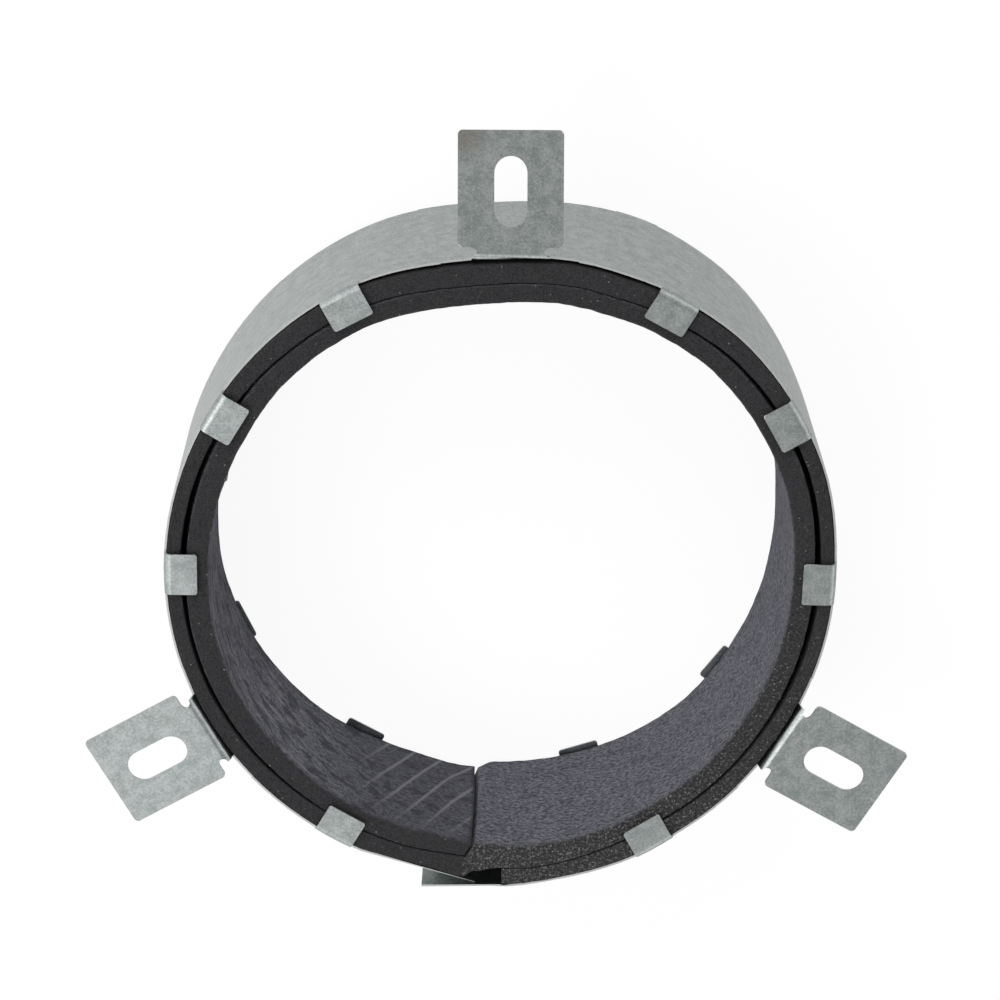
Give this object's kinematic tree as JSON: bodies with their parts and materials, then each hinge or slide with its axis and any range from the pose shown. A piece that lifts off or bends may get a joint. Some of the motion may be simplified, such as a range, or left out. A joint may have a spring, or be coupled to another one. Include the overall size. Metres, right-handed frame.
{
  "type": "pipe fire collar",
  "caption": "Round sheet-steel collar with folded retaining tabs and slotted mounting tabs, holding an intumescent strip that swells in a fire and closes the pipe's hole.",
  "frame": {"origin": "centre of the pipe's bore, at half the collar's height", "axes": "+Z along the pipe's axis, out of the mounting face; +Y to the mounting tab opposite the lap; +X to the right of the picture"},
  "size_m": [0.2356, 0.2257, 0.06],
  "materials": {
    "galvanised_sheet": "galvanised sheet steel with a fine spangle",
    "intumescent": "matt black graphite compound with fine grains"
  },
  "bodies": {
    "root": {"casing": "galvanised_sheet", "intumescent_strip": "intumescent"}
  },
  "joints": []
}
